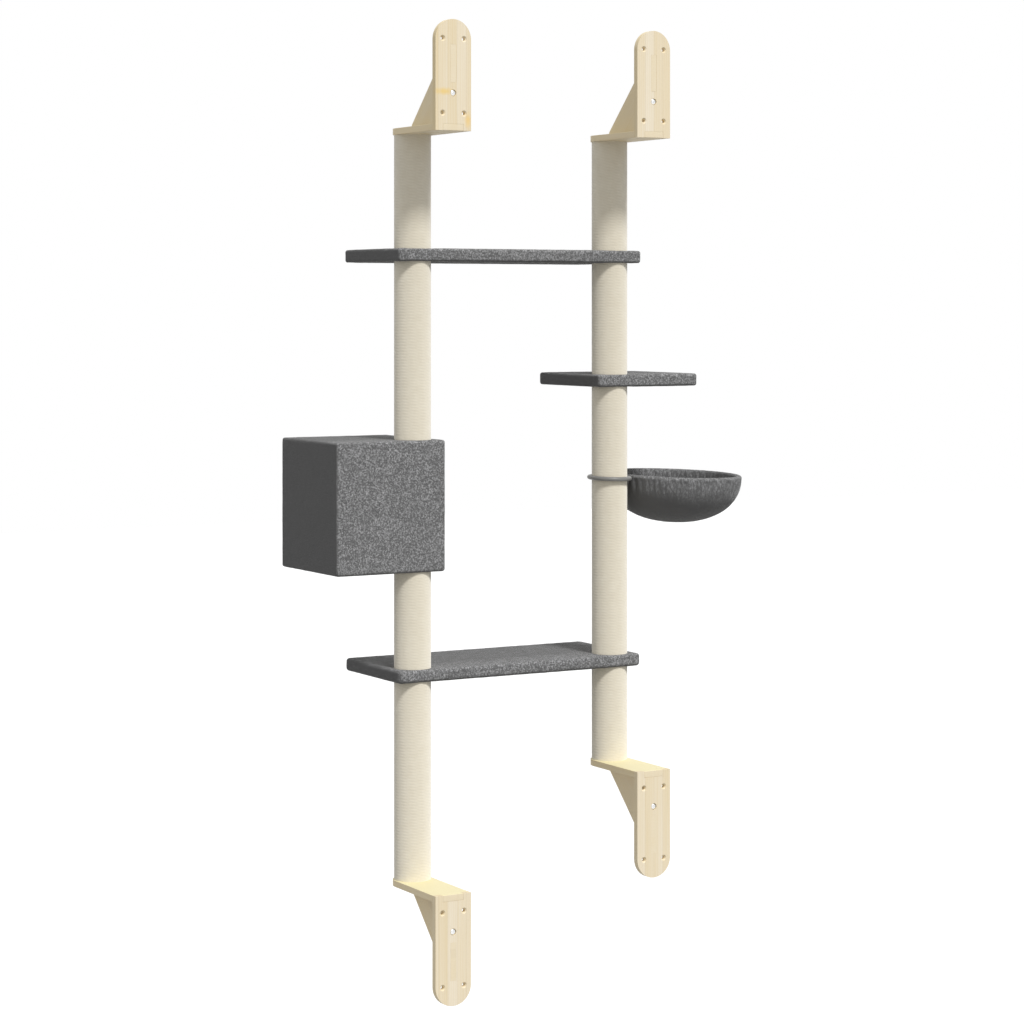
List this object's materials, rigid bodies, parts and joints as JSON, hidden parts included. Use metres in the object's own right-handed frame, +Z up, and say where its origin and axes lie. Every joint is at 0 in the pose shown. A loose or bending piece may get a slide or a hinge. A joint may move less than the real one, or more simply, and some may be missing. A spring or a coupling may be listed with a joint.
{
  "type": "wall mounted cat tree",
  "caption": "Wall mounted cat tree: roped posts on pine wall brackets carry plush shelves, a plush house and a cloth hammock that swivels round its post.",
  "frame": {"origin": "centre of the lower left wall plate's four wall holes, on the plate's wall face", "axes": "+Z up along the posts, +Y out of the wall into the room, +X from the left post to the right post as seen from the wall's side"},
  "size_m": [0.992, 0.3855, 1.945],
  "materials": {
    "pine": "planed and lightly sanded, unvarnished",
    "sisal": "wound natural rope",
    "cardboard": "spiral wound kraft tube",
    "chipboard": "raw pressed board",
    "plush": "short pile plush, dark grey with pale flecks",
    "hammock_cloth": "short pile plush, dark grey",
    "coated_steel": "dark grey textured coating",
    "zinc_steel": "bright zinc plating"
  },
  "bodies": {
    "root": {"upper_left_wall_plate": "pine", "upper_left_arm": "pine", "upper_left_gusset": "pine", "upper_right_wall_plate": "pine", "upper_right_arm": "pine", "upper_right_gusset": "pine", "lower_left_wall_plate": "pine", "lower_left_arm": "pine", "lower_left_gusset": "pine", "lower_right_wall_plate": "pine", "lower_right_arm": "pine", "lower_right_gusset": "pine", "gusset_screws": "zinc_steel", "post_bolts": "zinc_steel", "left_head_rope": "sisal", "left_high_rope": "sisal", "left_low_rope": "sisal", "left_foot_rope": "sisal", "right_head_rope": "sisal", "right_high_rope": "sisal", "right_low_rope": "sisal", "right_foot_rope": "sisal", "left_head_core": "cardboard", "left_high_core": "cardboard", "left_low_core": "cardboard", "left_foot_core": "cardboard", "right_head_core": "cardboard", "right_high_core": "cardboard", "right_low_core": "cardboard", "right_foot_core": "cardboard", "left_post_plugs": "chipboard", "right_post_plugs": "chipboard", "shelf_studs": "zinc_steel", "house_bolts": "zinc_steel", "house_washers": "zinc_steel", "top_shelf_board": "chipboard", "top_shelf_plush": "plush", "small_shelf_board": "chipboard", "small_shelf_plush": "plush", "lower_shelf_board": "chipboard", "lower_shelf_plush": "plush", "house_wall_panel": "chipboard", "house_front_panel": "chipboard", "house_left_panel": "chipboard", "house_right_panel": "chipboard", "house_top_panel": "chipboard", "house_bottom_panel": "chipboard", "house_plush": "plush"},
    "hammock": {"hammock_hoop": "coated_steel", "hammock_eye": "coated_steel", "hammock_bowl": "hammock_cloth"}
  },
  "joints": [
    {"name": "hammock_swivel", "type": "hinge", "parent": "root", "child": "hammock", "pos_m": [0.47, 0.172, 0.905], "axis": [0, 0, 1], "range_deg": [-16, 176]}
  ]
}
